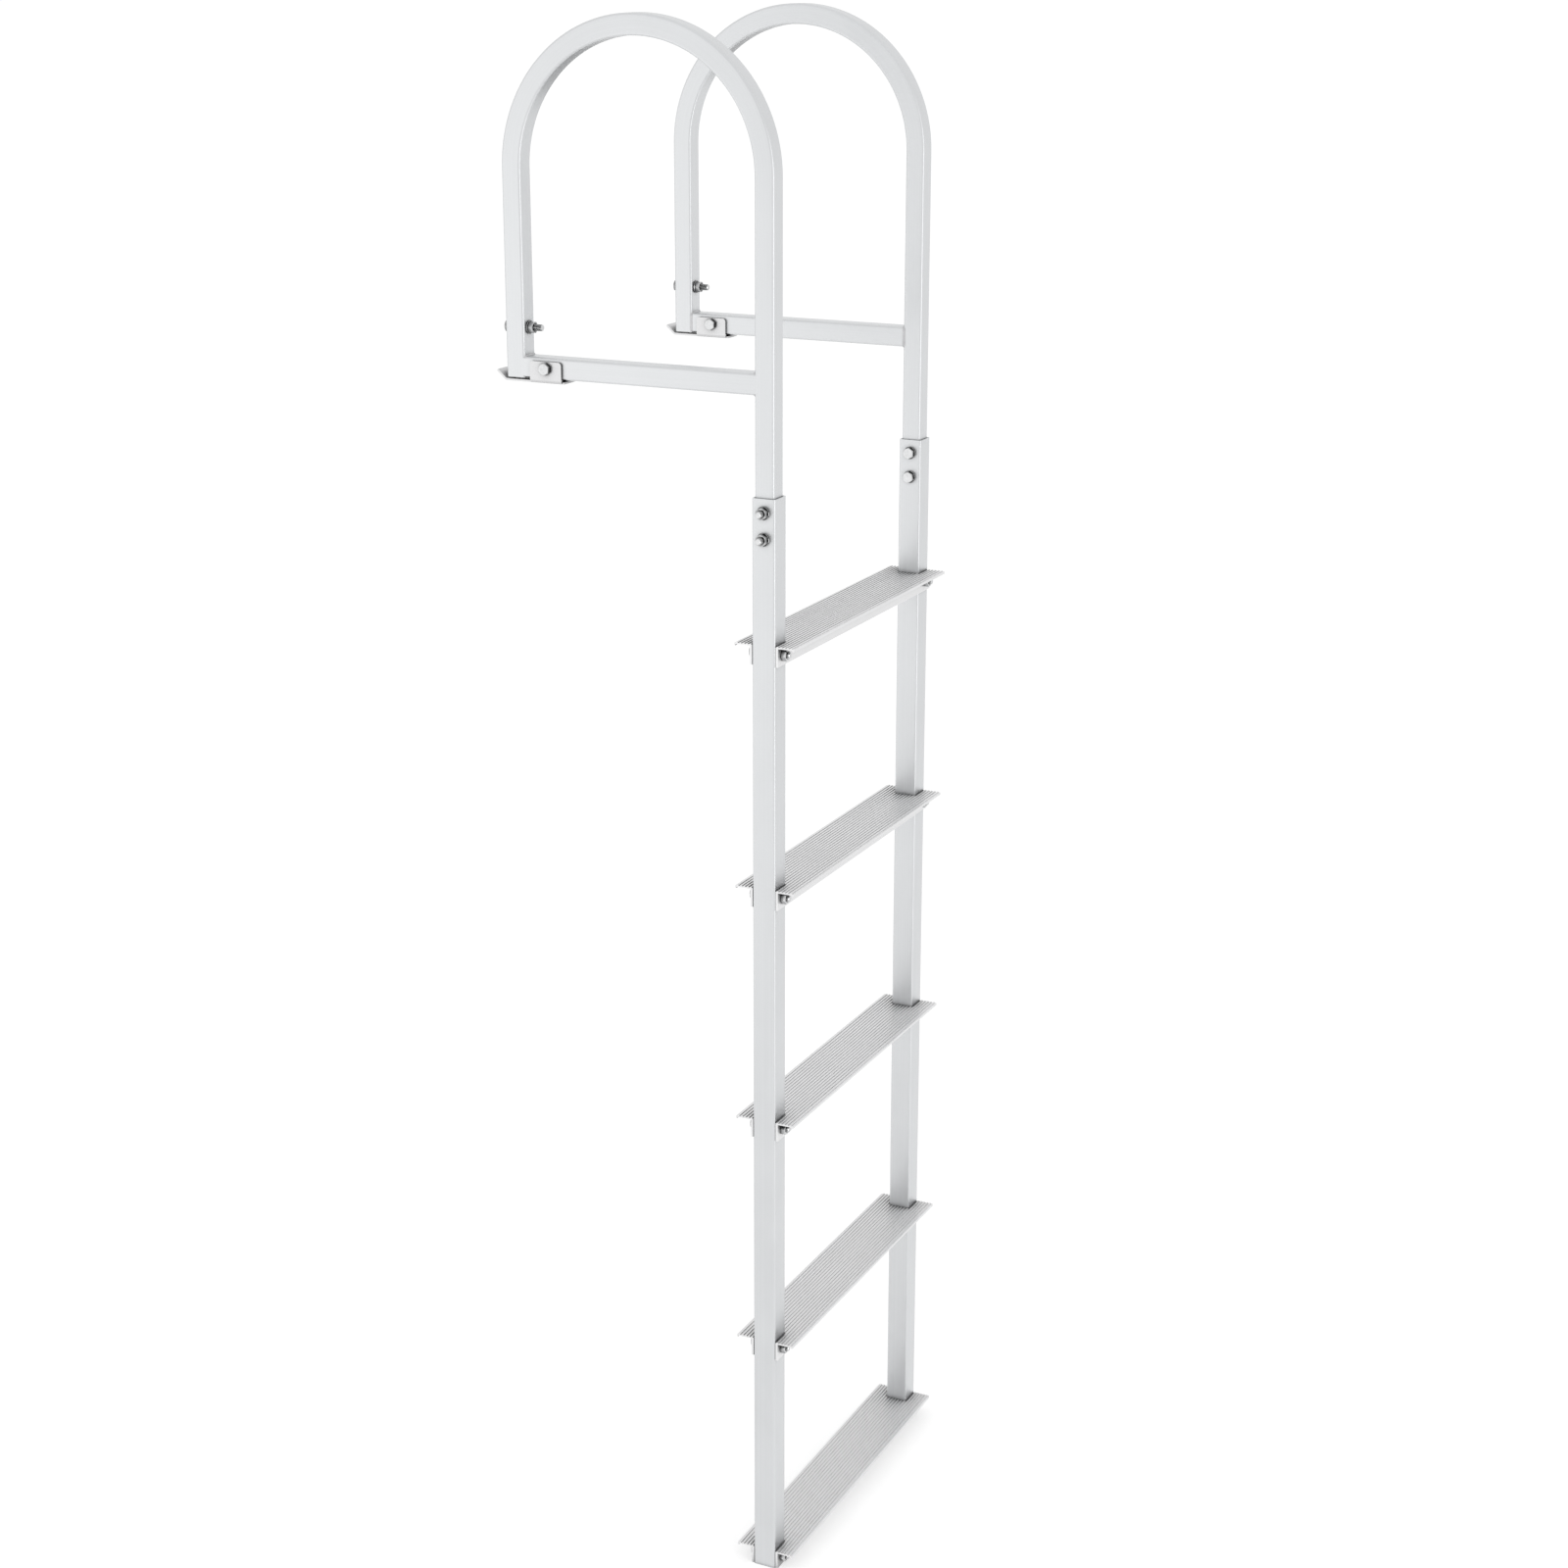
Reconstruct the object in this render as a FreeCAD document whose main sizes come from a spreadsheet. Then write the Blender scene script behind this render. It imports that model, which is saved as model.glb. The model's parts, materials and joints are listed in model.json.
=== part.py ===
import FreeCAD, Part
import os
import Sketcher

# Aluminium dock ladder: two bent handrail hoops whose long legs telescope into
# the lower rails, five ribbed treads bolted between the rails, and two bent
# saddle brackets that hold the hoops' cross bars down on the dock.
# Frame: +Z up, +Y towards the dock, +X from the left hoop to the right one.
# The origin is on the underside of the left bracket, below its ear bolt.

V = FreeCAD.Vector
doc = FreeCAD.newDocument("dock_ladder")

# Driving dimensions in millimetres and degrees.
SIZES = [
    ("rail_spacing", 425.0, "left to right, between the centres of the hoops and rails"),
    ("hoop_tube", 25.0, "outer width of the square handrail tube"),
    ("hoop_wall", 2.0, "wall of the handrail tube"),
    ("hoop_corner", 1.6, "flat along each long corner of the handrail tube"),
    ("hoop_span", 326.0, "between the centres of a hoop's two legs"),
    ("spring_height", 246.0, "dock face to the start of the hoop's bend"),
    ("ear_to_leg", 42.0, "bracket ear bolt to the centre of the dock leg"),
    ("leg_bolt_height", 62.5, "dock face to the bolt through the dock leg"),
    ("rail_tube", 30.0, "outer width of the square lower rail"),
    ("rail_wall", 2.0, "wall of the lower rail"),
    ("rail_corner", 1.4, "flat along each long corner of the lower rail"),
    ("rail_top_drop", 112.5, "dock face down to the top of the lower rail"),
    ("splice_depth", 76.0, "handrail tube inside the lower rail"),
    ("splice_first", 16.5, "rail top down to the first splice bolt"),
    ("splice_pitch", 31.0, "between the two splice bolts"),
    ("tread_first_drop", 172.5, "rail top down to the top tread"),
    ("tread_pitch", 300.0, "between one tread and the next"),
    ("tread_width", 78.0, "front to back"),
    ("tread_end_inset", 1.0, "rail's outer face to the tread's end"),
    ("tread_plate", 2.6, "tread plate with its ribs"),
    ("tread_web", 3.0, "thickness of the two webs"),
    ("tread_depth", 25.0, "tread top to the bottom of its webs"),
    ("tread_seat", 0.25, "clearance between a web and the rail"),
    ("tread_notch_gap", 0.6, "clearance between the notched plate and the rail"),
    ("tread_bolt_drop", 12.5, "tread top down to its bolts"),
    ("tread_edge", 4.2, "depth of the lip along each long edge of the plate"),
    ("tread_lip", 2.0, "thickness of that lip"),
    ("rib_pitch", 4.4, "between the grip ribs"),
    ("rib_width", 2.2, "width of a grip rib"),
    ("rib_height", 0.9, "height of a grip rib"),
    ("rib_margin", 2.5, "least distance from the plate's edge to the outer rib"),
    ("bracket_plate", 2.5, "sheet thickness of the bracket"),
    ("bracket_bend", 2.0, "inside bend radius of the bracket"),
    ("bracket_side_gap", 0.4, "clearance between an ear and the cross bar"),
    ("foot_gap", 2.2, "bracket plate up to the leg's foot and the cross bar"),
    ("ear_length", 42.0, "front to back"),
    ("ear_height", 25.5, "dock face to the top of an ear"),
    ("ear_corner", 4.0, "radius of the ears' upper corners"),
    ("strip_width", 26.0, "width of the bracket's strip under the leg"),
    ("strip_front", 23.5, "ear bolt to the strip's water-side end"),
    ("strip_back", 54.0, "ear bolt to the bend of the end tab"),
    ("tab_length", 14.5, "straight length of the end tab"),
    ("tab_angle", 42.0, "rise of the end tab"),
    ("screw_hole", 6.5, "diameter of the dock screw holes"),
    ("screw_pitch", 28.0, "between a bracket's two dock screws"),
    ("bolt_shank", 8.0, "diameter of every bolt"),
    ("bolt_clearance", 0.6, "bolt holes are wider than the shank by this"),
    ("hex_flats", 13.0, "across the flats of heads and nuts"),
    ("head_height", 5.3, "height of a bolt head"),
    ("nut_height", 6.5, "height of a nut"),
    ("washer_width", 16.0, "outer diameter of a washer"),
    ("washer_height", 1.6, "thickness of a washer"),
    ("tread_bolt_end", 3.0, "thread past the nut on the tread bolts"),
    ("splice_bolt_end", 6.0, "thread past the nut on the splice bolts"),
    ("leg_bolt_end", 10.5, "thread past the nut on the leg bolts"),
    ("bracket_bolt_end", 3.0, "thread past the nut on the bracket bolts"),
]
TREADS = 5
SPLICE_BOLTS = 2
SIDES = ("left", "right")
# Bolt holes, shanks and bores have few sides, and so do washers, which keeps these many repeats light.
BOLT_SIDES = 12
WASHER_SIDES = 24

sheet = doc.addObject("Spreadsheet::Sheet", "Sizes")
for row, (alias, value, note) in enumerate(SIZES, start=1):
    sheet.set("A%d" % row, alias)
    sheet.set("B%d" % row, str(value))
    sheet.set("C%d" % row, note)
    sheet.setAlias("B%d" % row, alias)
doc.recompute()

# Places that several pieces share, as expressions of the sheet.
FOOT = "(Sizes.bracket_plate + Sizes.foot_gap)"
BAR_HEIGHT = "(%s + Sizes.hoop_tube / 2)" % FOOT
HOOP_MID = "(Sizes.ear_to_leg - Sizes.hoop_span / 2)"
RAIL_PLACE = "(Sizes.ear_to_leg - Sizes.hoop_span)"
LEG_BACK = "(Sizes.ear_to_leg + Sizes.hoop_tube / 2)"
BOLT_HOLE = "(Sizes.bolt_shank + Sizes.bolt_clearance)"
BOLT_CORNERS = "%s / 2 / cos(180deg / %d)" % (BOLT_HOLE, BOLT_SIDES)
WEB_FACE = "(Sizes.rail_tube / 2 + Sizes.tread_seat)"
WEB_BACK = "(%s + Sizes.tread_web)" % WEB_FACE
RIB_COUNT = ("(floor((Sizes.tread_width - 2 * Sizes.rib_margin - Sizes.rib_width)"
             " / Sizes.rib_pitch) + 1)")
EAR_FACE = "(Sizes.hoop_tube / 2 + Sizes.bracket_side_gap)"
EAR_BACK = "(%s + Sizes.bracket_plate)" % EAR_FACE
OUTER_BEND = "(Sizes.bracket_bend + Sizes.bracket_plate)"


def side_x(side):
    return "0" if side == "left" else "Sizes.rail_spacing"


def tread_below_top(number):
    """The rail's top down to the top of a tread, counted from 0."""
    return "(Sizes.tread_first_drop + %d * Sizes.tread_pitch)" % number


def tread_height(number):
    return "(-Sizes.rail_top_drop - %s)" % tread_below_top(number)


def value(expression):
    """The number that an expression of the sheet has now."""
    return float(sheet.evalExpression(expression))


def place(thing, x="0", y="0", z="0", axis=V(0, 0, 1), angle=0.0):
    """Turns a piece and binds where it stands to the sheet."""
    thing.Placement = FreeCAD.Placement(V(0, 0, 0), FreeCAD.Rotation(axis, angle))
    for name, expression in (("x", x), ("y", y), ("z", z)):
        thing.setExpression("Placement.Base." + name, expression)


def new_body(label):
    body = doc.addObject("PartDesign::Body", label)
    body.Label = label
    return body


def origin_part(body, role):
    return [part for part in body.Origin.OriginFeatures if part.Role == role][0]


def sketch_on(body, role, name):
    """A sketch on one of the body's own planes."""
    sketch = body.newObject("Sketcher::SketchObject", body.Name + "_" + name)
    sketch.AttachmentSupport = [(origin_part(body, role), "")]
    sketch.MapMode = "FlatFace"
    return sketch


def arc_between(start, end, radius):
    """The shorter arc from start to end that turns left, or right where the radius is below zero."""
    chord = end - start
    side = V(-chord.y, chord.x, 0).normalize()
    height = (radius * radius - chord.Length * chord.Length / 4) ** 0.5
    centre = (start + end) / 2 + side * (height if radius > 0 else -height)
    if radius < 0:
        start, end = end, start
    first = (start - centre).getAngle(V(1, 0, 0)) * (1 if start.y >= centre.y else -1)
    last = (end - centre).getAngle(V(1, 0, 0)) * (1 if end.y >= centre.y else -1)
    return Part.ArcOfCircle(Part.Circle(centre, V(0, 0, 1), abs(radius)), first, last)


def outline(sketch, corners):
    """A closed outline through corners that are pairs of expressions.

    A third expression makes the stretch from that corner to the next an arc:
    its radius, which is below zero where the arc turns right."""
    first = sketch.GeometryCount
    count = len(corners)
    points = [V(value(corner[0]), value(corner[1]), 0) for corner in corners]
    shapes = []
    rules = []
    sizes = []
    starts = []
    for number, corner in enumerate(corners):
        start = points[number]
        end = points[(number + 1) % count]
        turn = value(corner[2]) if len(corner) > 2 else 0.0
        shapes.append(arc_between(start, end, turn) if turn else Part.LineSegment(start, end))
        starts.append(2 if turn < 0 else 1)
    for number, corner in enumerate(corners):
        line = first + number
        following = (number + 1) % count
        rules.append(Sketcher.Constraint("Coincident", line, 3 - starts[number],
                                         first + following, starts[following]))
        for kind, size, number_now in (("DistanceX", corner[0], points[number].x),
                                       ("DistanceY", corner[1], points[number].y)):
            sizes.append((len(rules), size))
            rules.append(Sketcher.Constraint(kind, -1, 1, line, starts[number], number_now))
        if len(corner) > 2:
            sizes.append((len(rules), "abs(%s)" % corner[2]))
            rules.append(Sketcher.Constraint("Radius", line, abs(value(corner[2]))))
    sketch.addGeometry(shapes)
    base = sketch.ConstraintCount
    sketch.addConstraint(rules)
    for index, size in sizes:
        sketch.setExpression("Constraints[%d]" % (base + index), size)


def rectangle(sketch, x_low, x_high, y_low, y_high):
    outline(sketch, [(x_low, y_low), (x_high, y_low), (x_high, y_high), (x_low, y_high)])


def tube_section(sketch, width, wall, corner, middle="0"):
    """A square tube: flats along the outer corners, and sharp corners inside."""
    half = "%s / 2" % width
    flat = "(%s - %s)" % (half, corner)
    signs = [(half, "-" + flat), (half, flat), (flat, half), ("-" + flat, half),
             ("-" + half, flat), ("-" + half, "-" + flat), ("-" + flat, "-" + half), (flat, "-" + half)]
    outline(sketch, [(x, "%s + %s" % (middle, y)) for x, y in signs])
    inside = "(%s - %s)" % (half, wall)
    rectangle(sketch, "-" + inside, inside, "%s - %s" % (middle, inside), "%s + %s" % (middle, inside))


def pad(body, sketch, length, reverse=False, middle=False):
    feature = body.newObject("PartDesign::Pad", sketch.Name + "_pad")
    feature.Profile = sketch
    feature.Reversed = reverse
    if middle:
        feature.SideType = "Symmetric"
    feature.setExpression("Length", length)
    sketch.Visibility = False
    return feature


def repeat(body, feature, role, pitch, count, reverse=False):
    """A row of like features along one of the body's own axes."""
    row = body.newObject("PartDesign::LinearPattern", feature.Name + "_row")
    row.Originals = [feature]
    row.Direction = (origin_part(body, role), [""])
    row.Reversed = reverse
    row.Mode = "Spacing"
    row.setExpression("Occurrences", count)
    row.setExpression("Offset", pitch)
    body.Tip = row
    return row


def check_cut(body, before, name):
    doc.recompute()
    if body.Shape.Volume >= before - 1.0:
        raise RuntimeError(name + " cuts nothing")


def cut_through(body, sketch):
    """Cuts a sketch through the whole body, to both sides."""
    doc.recompute()
    before = body.Shape.Volume
    feature = body.newObject("PartDesign::Pocket", sketch.Name + "_cut")
    feature.Profile = sketch
    feature.Type = "ThroughAll"
    feature.SideType = "Symmetric"
    check_cut(body, before, sketch.Name)
    return feature


def bolt_hole(body, role, name, across, up, depth, start=None):
    """A bolt hole square to one of the body's planes, through the plane unless it has a start."""
    doc.recompute()
    before = body.Shape.Volume
    feature = body.newObject("PartDesign::SubtractivePrism", body.Name + "_" + name)
    feature.Polygon = BOLT_SIDES
    feature.setExpression("Circumradius", BOLT_CORNERS)
    feature.setExpression("Height", depth)
    feature.AttachmentSupport = [(origin_part(body, role), "")]
    feature.MapMode = "FlatFace"
    feature.setExpression("AttachmentOffset.Base.x", across)
    feature.setExpression("AttachmentOffset.Base.y", up)
    feature.setExpression("AttachmentOffset.Base.z", start or "-%s / 2" % depth)
    check_cut(body, before, feature.Name)
    return feature


def handrail_hoop(side):
    """A bent square tube: a long water leg, a half round bend and a short dock leg.

    The body's origin is at the middle of the bend."""
    body = new_body(side + "_handrail_hoop")
    legs = {"bend": "-Sizes.hoop_span / 2", "water_leg": "-Sizes.hoop_span / 2",
            "dock_leg": "Sizes.hoop_span / 2"}
    for name, middle in legs.items():
        section = sketch_on(body, "XY_Plane", name)
        tube_section(section, "Sizes.hoop_tube", "Sizes.hoop_wall", "Sizes.hoop_corner", middle)
        if name == "bend":
            bend = body.newObject("PartDesign::Revolution", body.Name + "_bend_turn")
            bend.Profile = section
            bend.ReferenceAxis = (section, ["H_Axis"])
            bend.Angle = 180.0
            bend.Reversed = True
        elif name == "water_leg":
            reach = "Sizes.spring_height + Sizes.rail_top_drop + Sizes.splice_depth"
            pad(body, section, reach, reverse=True)
        else:
            pad(body, section, "Sizes.spring_height - %s" % FOOT, reverse=True)
    through = "(2 * Sizes.hoop_tube)"
    drop = "-Sizes.spring_height - Sizes.rail_top_drop - Sizes.splice_first"
    drill = bolt_hole(body, "YZ_Plane", "splice_hole", legs["water_leg"], drop, through)
    repeat(body, drill, "Z_Axis", "Sizes.splice_pitch", str(SPLICE_BOLTS), reverse=True)
    bolt_hole(body, "XZ_Plane", "leg_bolt_hole", "0", "Sizes.leg_bolt_height - Sizes.spring_height",
              through, "-Sizes.hoop_span / 2 - Sizes.hoop_tube")
    place(body, side_x(side), HOOP_MID, "Sizes.spring_height")
    return body


def crossbar(side):
    """The square tube welded between the hoop's two legs, just above the dock."""
    body = new_body(side + "_crossbar")
    section = sketch_on(body, "XZ_Plane", "section")
    tube_section(section, "Sizes.hoop_tube", "Sizes.hoop_wall", "Sizes.hoop_corner")
    pad(body, section, "Sizes.hoop_span - Sizes.hoop_tube", middle=True)
    bolt_hole(body, "YZ_Plane", "bracket_bolt_hole", "-%s" % HOOP_MID, "0", "(2 * Sizes.hoop_tube)")
    place(body, side_x(side), HOOP_MID, BAR_HEIGHT)
    return body


def lower_rail(side):
    """The wider square tube that sleeves the hoop's long leg and carries the treads."""
    body = new_body(side + "_lower_rail")
    section = sketch_on(body, "XY_Plane", "section")
    tube_section(section, "Sizes.rail_tube", "Sizes.rail_wall", "Sizes.rail_corner")
    pad(body, section, "%s + Sizes.tread_depth" % tread_below_top(TREADS - 1), reverse=True)
    through = "(2 * Sizes.rail_tube)"
    splice = bolt_hole(body, "YZ_Plane", "splice_hole", "0", "-Sizes.splice_first", through)
    repeat(body, splice, "Z_Axis", "Sizes.splice_pitch", str(SPLICE_BOLTS), reverse=True)
    drop = "-%s - Sizes.tread_bolt_drop" % tread_below_top(0)
    drill = bolt_hole(body, "XZ_Plane", "tread_bolt_hole", "0", drop, through)
    repeat(body, drill, "Z_Axis", "Sizes.tread_pitch", str(TREADS), reverse=True)
    place(body, side_x(side), RAIL_PLACE, "-Sizes.rail_top_drop")
    return body


def tread(number):
    """One extruded tread, notched at both ends so that the rails pass through.

    Its plate has a lip along each edge, two webs below and a row of grip ribs on top."""
    body = new_body("tread_%d" % (number + 1))
    length = "Sizes.rail_spacing + Sizes.rail_tube - 2 * Sizes.tread_end_inset"
    edge = "Sizes.tread_width / 2"
    under = "-Sizes.tread_plate"
    half = [(WEB_FACE, under), (WEB_FACE, "-Sizes.tread_depth"), (WEB_BACK, "-Sizes.tread_depth"),
            (WEB_BACK, under), (edge + " - Sizes.tread_lip", under),
            (edge + " - Sizes.tread_lip", "-Sizes.tread_edge"), (edge, "-Sizes.tread_edge"),
            (edge, "-Sizes.rib_height")]
    section = sketch_on(body, "YZ_Plane", "section")
    outline(section, half + [("-(%s)" % x, y) for x, y in reversed(half)])
    pad(body, section, length, middle=True)
    rib = sketch_on(body, "YZ_Plane", "rib")
    first = "-(%s - 1) / 2 * Sizes.rib_pitch" % RIB_COUNT
    rectangle(rib, first + " - Sizes.rib_width / 2", first + " + Sizes.rib_width / 2",
              "-Sizes.rib_height", "0")
    repeat(body, pad(body, rib, length, middle=True), "Y_Axis", "Sizes.rib_pitch", RIB_COUNT)
    notch = sketch_on(body, "XY_Plane", "rail_notches")
    inner = "(Sizes.rail_spacing / 2 - Sizes.rail_tube / 2 - Sizes.tread_notch_gap)"
    outer = "(Sizes.rail_spacing / 2 + Sizes.rail_tube)"
    rectangle(notch, inner, outer, "-" + WEB_FACE, WEB_FACE)
    rectangle(notch, "-" + outer, "-" + inner, "-" + WEB_FACE, WEB_FACE)
    cut_through(body, notch)
    drill = bolt_hole(body, "XZ_Plane", "bolt_hole", "-Sizes.rail_spacing / 2", "-Sizes.tread_bolt_drop",
                      "(4 * %s)" % WEB_BACK)
    repeat(body, drill, "X_Axis", "Sizes.rail_spacing", str(len(SIDES)))
    place(body, "Sizes.rail_spacing / 2", RAIL_PLACE, tread_height(number))
    return body


def ear_corner_edges(shape):
    """The four upper corners of the ears, which run across the sheet."""
    top = value("Sizes.ear_height")
    end = value("Sizes.ear_length") / 2
    names = []
    for number, edge in enumerate(shape.Edges, start=1):
        box = edge.BoundBox
        if box.ZMin > top - 0.01 and box.YLength < 0.01 and abs(abs(box.Center.y) - end) < 0.01:
            names.append("Edge%d" % number)
    return names


def dock_bracket(side):
    """Bent sheet: two ears beside the cross bar and a strip with a bent-up end tab."""
    body = new_body(side + "_dock_bracket")
    saddle = sketch_on(body, "XZ_Plane", "saddle")
    plate = "Sizes.bracket_plate"
    floor = "%s - %s" % (EAR_BACK, OUTER_BEND)
    outline(saddle, [("-(%s)" % floor, "0"), (floor, "0", OUTER_BEND), (EAR_BACK, OUTER_BEND),
                     (EAR_BACK, "Sizes.ear_height"), (EAR_FACE, "Sizes.ear_height"),
                     (EAR_FACE, OUTER_BEND, "-Sizes.bracket_bend"), (floor, plate),
                     ("-(%s)" % floor, plate, "-Sizes.bracket_bend"), ("-" + EAR_FACE, OUTER_BEND),
                     ("-" + EAR_FACE, "Sizes.ear_height"), ("-" + EAR_BACK, "Sizes.ear_height"),
                     ("-" + EAR_BACK, OUTER_BEND, OUTER_BEND)])
    ears = pad(body, saddle, "Sizes.ear_length", middle=True)
    doc.recompute()
    corners = body.newObject("PartDesign::Fillet", body.Name + "_ear_corners")
    corners.Base = (ears, ear_corner_edges(body.Shape))
    corners.setExpression("Radius", "Sizes.ear_corner")
    strip = sketch_on(body, "YZ_Plane", "strip")
    rise = "sin(Sizes.tab_angle * 1deg)"
    run = "cos(Sizes.tab_angle * 1deg)"

    def beyond_bend(radius, length):
        """A point of the tab, at a radius from the bend's centre and a length past the bend."""
        return ("Sizes.strip_back + %s * %s + %s * %s" % (radius, rise, length, run),
                "%s - %s * %s + %s * %s" % (OUTER_BEND, radius, run, length, rise))

    outline(strip, [("-Sizes.strip_front", "0"), ("Sizes.strip_back", "0", OUTER_BEND),
                    beyond_bend(OUTER_BEND, "0"), beyond_bend(OUTER_BEND, "Sizes.tab_length"),
                    beyond_bend("Sizes.bracket_bend", "Sizes.tab_length"),
                    beyond_bend("Sizes.bracket_bend", "0") + ("-Sizes.bracket_bend",),
                    ("Sizes.strip_back", plate), ("-Sizes.strip_front", plate)])
    pad(body, strip, "Sizes.strip_width", middle=True)
    bolt_hole(body, "YZ_Plane", "ear_bolt_hole", "0", BAR_HEIGHT, "(4 * %s)" % EAR_BACK)
    screws = sketch_on(body, "XY_Plane", "screw_holes")
    for end in (-1, 1):
        spot = screws.addGeometry(Part.Circle(V(0, end * value("Sizes.screw_pitch") / 2, 0), V(0, 0, 1),
                                              value("Sizes.screw_hole") / 2))
        for kind, where, size in (("DistanceX", (-1, 1, spot, 3), "0"),
                                  ("DistanceY", (-1, 1, spot, 3), "%d * Sizes.screw_pitch / 2" % end),
                                  ("Diameter", (spot,), "Sizes.screw_hole")):
            index = screws.addConstraint(Sketcher.Constraint(kind, *where, value(size)))
            screws.setExpression("Constraints[%d]" % index, size)
    cut_through(body, screws)
    place(body, side_x(side))
    return body


def prism(name, sides, radius, height, start="0"):
    bar = doc.addObject("Part::Prism", name)
    bar.Polygon = sides
    bar.setExpression("Circumradius", radius)
    bar.setExpression("Height", height)
    bar.setExpression("Placement.Base.z", start)
    return bar


def hexagon(name, height, start="0"):
    return prism(name, 6, "Sizes.hex_flats / 2 / cos(30deg)", height, start)


def bolt(name, grip, past_nut):
    """A hex bolt along +Z: the head's seat is at the origin and the head lies below it."""
    head = hexagon(name + "_head", "Sizes.head_height", "-Sizes.head_height")
    length = "%s + Sizes.nut_height + %s" % (grip, past_nut)
    whole = doc.addObject("Part::Fuse", name)
    whole.Base = head
    whole.Tool = prism(name + "_shank", BOLT_SIDES, "Sizes.bolt_shank / 2", length)
    return whole


def bored(name, blank, height):
    """A blank with a bolt hole along its axis."""
    whole = doc.addObject("Part::Cut", name)
    whole.Base = blank
    whole.Tool = prism(name + "_bore", BOLT_SIDES, BOLT_CORNERS, "3 * (%s)" % height, "-(%s)" % height)
    return whole


def nut(name):
    return bored(name, hexagon(name + "_blank", "Sizes.nut_height"), "Sizes.nut_height")


def washer(name):
    blank = prism(name + "_blank", WASHER_SIDES, "Sizes.washer_width / 2", "Sizes.washer_height")
    return bored(name, blank, "Sizes.washer_height")


def group(label, members):
    """Like pieces that share a node, as solids that don't touch."""
    whole = doc.addObject("Part::Compound", label)
    whole.Label = label
    whole.Links = members
    return whole


ALONG_X = (V(0, 1, 0), 90)
AGAINST_X = (V(0, 1, 0), -90)
AGAINST_Y = (V(1, 0, 0), 90)


def tread_fasteners(number):
    """The bolts of one tread run through both webs and the rail, heads on the dock side."""
    name = "tread_%d" % (number + 1)
    height = "%s - Sizes.tread_bolt_drop" % tread_height(number)
    bolts = []
    nuts = []
    for side in SIDES:
        screw = bolt("%s_%s_bolt" % (name, side), "2 * %s" % WEB_BACK, "Sizes.tread_bolt_end")
        place(screw, side_x(side), "%s + %s" % (RAIL_PLACE, WEB_BACK), height, *AGAINST_Y)
        bolts.append(screw)
        fastener = nut("%s_%s_nut" % (name, side))
        place(fastener, side_x(side), "%s - %s" % (RAIL_PLACE, WEB_BACK), height, *AGAINST_Y)
        nuts.append(fastener)
    return [group(name + "_bolts", bolts), group(name + "_nuts", nuts)]


def splice_fasteners(side):
    """Two bolts lock each hoop in its rail: heads inside, nuts outside, washers under both."""
    out = "-" if side == "left" else "+"
    back = "+" if side == "left" else "-"
    turn = AGAINST_X if side == "left" else ALONG_X
    face = "(Sizes.rail_tube / 2)"
    seat = "(%s + Sizes.washer_height)" % face
    bolts = []
    nuts = []
    washers = []
    for number in range(SPLICE_BOLTS):
        height = "-Sizes.rail_top_drop - Sizes.splice_first - %d * Sizes.splice_pitch" % number
        name = "%s_splice_%d" % (side, number + 1)
        screw = bolt(name + "_bolt", "2 * %s" % seat, "Sizes.splice_bolt_end")
        place(screw, "%s %s %s" % (side_x(side), back, seat), RAIL_PLACE, height, *turn)
        bolts.append(screw)
        fastener = nut(name + "_nut")
        place(fastener, "%s %s %s" % (side_x(side), out, seat), RAIL_PLACE, height, *turn)
        nuts.append(fastener)
        for label, start in (("inner", "%s %s %s" % (side_x(side), back, seat)),
                             ("outer", "%s %s %s" % (side_x(side), out, face))):
            ring = washer("%s_%s_washer" % (name, label))
            place(ring, start, RAIL_PLACE, height, *turn)
            washers.append(ring)
    return [group(side + "_splice_bolts", bolts), group(side + "_splice_nuts", nuts),
            group(side + "_splice_washers", washers)]


def leg_fasteners(side):
    """One long bolt through the dock leg, head towards the dock, washer and nut inside the hoop."""
    near = "(Sizes.ear_to_leg - Sizes.hoop_tube / 2)"
    screw = bolt(side + "_leg_bolt", "Sizes.hoop_tube + Sizes.washer_height", "Sizes.leg_bolt_end")
    place(screw, side_x(side), LEG_BACK, "Sizes.leg_bolt_height", *AGAINST_Y)
    ring = washer(side + "_leg_washer")
    place(ring, side_x(side), near, "Sizes.leg_bolt_height", *AGAINST_Y)
    fastener = nut(side + "_leg_nut")
    place(fastener, side_x(side), "%s - Sizes.washer_height" % near, "Sizes.leg_bolt_height", *AGAINST_Y)
    return [screw, ring, fastener]


def bracket_fasteners(side):
    """The bolt through a bracket's ears and the cross bar."""
    screw = bolt(side + "_bracket_bolt", "2 * %s" % EAR_BACK, "Sizes.bracket_bolt_end")
    place(screw, "%s - %s" % (side_x(side), EAR_BACK), "0", BAR_HEIGHT, *ALONG_X)
    fastener = nut(side + "_bracket_nut")
    place(fastener, "%s + %s" % (side_x(side), EAR_BACK), "0", BAR_HEIGHT, *ALONG_X)
    return [screw, fastener]


pieces = []
for side in SIDES:
    pieces += [handrail_hoop(side), crossbar(side), lower_rail(side), dock_bracket(side)]
    pieces += splice_fasteners(side) + leg_fasteners(side) + bracket_fasteners(side)
for number in range(TREADS):
    pieces.append(tread(number))
    pieces += tread_fasteners(number)

doc.recompute()
for thing in doc.Objects:
    if "Invalid" in thing.State or "Error" in thing.State:
        raise RuntimeError("%s failed: %s" % (thing.Label, thing.State))
for piece in pieces:
    if piece.Shape.isNull() or not piece.Shape.isValid() or not piece.Shape.Solids:
        raise RuntimeError(piece.Label + " has no valid solid")

os.makedirs("parts", exist_ok=True)
for piece in pieces:
    piece.Shape.exportStep(os.path.join("parts", piece.Label + ".step"))
print(len(pieces), "pieces written")
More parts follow.
